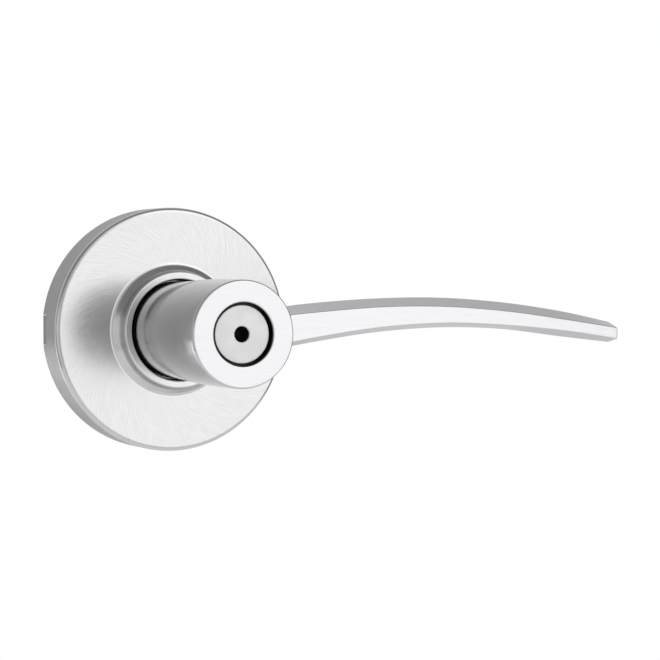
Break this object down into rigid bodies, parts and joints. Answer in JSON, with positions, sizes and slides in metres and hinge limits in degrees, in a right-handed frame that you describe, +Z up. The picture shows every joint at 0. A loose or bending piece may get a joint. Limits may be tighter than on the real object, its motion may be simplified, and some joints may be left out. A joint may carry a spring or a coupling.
{
  "type": "door lever handle",
  "caption": "Door lever trim for one side of a privacy set: round rose, turned hub with an arched lever arm, and a recessed plug with an emergency-release hole.",
  "frame": {"origin": "on the spindle axis at the face of the door, which is the back of the mounting plate", "axes": "-Y out of the door, +X along the lever arm, +Z up"},
  "size_m": [0.1509, 0.0996, 0.0666],
  "materials": {
    "satin_chrome": "satin chrome plating, brushed",
    "insert_grey": "matt light grey",
    "black_nylon": "moulded nylon",
    "white_nylon": "moulded nylon",
    "zinc": "die-cast zinc",
    "plated_steel": "zinc-plated steel",
    "spring_steel": "spring steel"
  },
  "bodies": {
    "chassis": {"rose_cover": "satin_chrome", "rose_liner": "black_nylon", "rose_snap_ring": "spring_steel", "collar_guide": "black_nylon", "chassis_plate": "zinc", "mounting_posts": "plated_steel", "stop_pins": "plated_steel", "spring_housing": "plated_steel", "housing_screws": "plated_steel", "rear_bushing": "white_nylon", "front_bushing": "white_nylon", "return_spring": "spring_steel"},
    "lever": {"lever_handle": "satin_chrome", "release_insert": "insert_grey", "insert_clip": "spring_steel", "spindle_sleeve": "plated_steel", "sleeve_clip": "spring_steel", "drive_cam": "plated_steel", "thrust_washer": "plated_steel", "spring_washer": "spring_steel", "spindle_carrier": "zinc", "carrier_pins": "plated_steel", "drive_spindle": "plated_steel", "spindle_clip": "spring_steel", "plunger_guide": "white_nylon", "guide_ring": "spring_steel", "catch_spring": "spring_steel", "plunger_spring": "spring_steel"},
    "release_plunger": {"release_plunger": "plated_steel", "plunger_clip": "spring_steel"},
    "lever_catch": {"lever_catch": "plated_steel"}
  },
  "joints": [
    {"name": "lever_turn", "type": "hinge", "parent": "chassis", "child": "lever", "pos_m": [0, 0, 0], "axis": [0, 1, 0], "range_deg": [-45, 45], "stiffness_Nm_per_rad": 2.5, "deforming": ["return_spring"]},
    {"name": "plunger_slide", "type": "slide", "parent": "lever", "child": "release_plunger", "axis": [0, 1, 0], "range_m": [0, 0.004], "stiffness_N_per_m": 300, "springref_m": -0.001, "deforming": ["plunger_spring"]},
    {"name": "catch_slide", "type": "slide", "parent": "lever", "child": "lever_catch", "axis": [0, 0, 1], "range_m": [0, 0.0021], "stiffness_N_per_m": 1500, "springref_m": -0.001, "deforming": ["catch_spring"]}
  ]
}
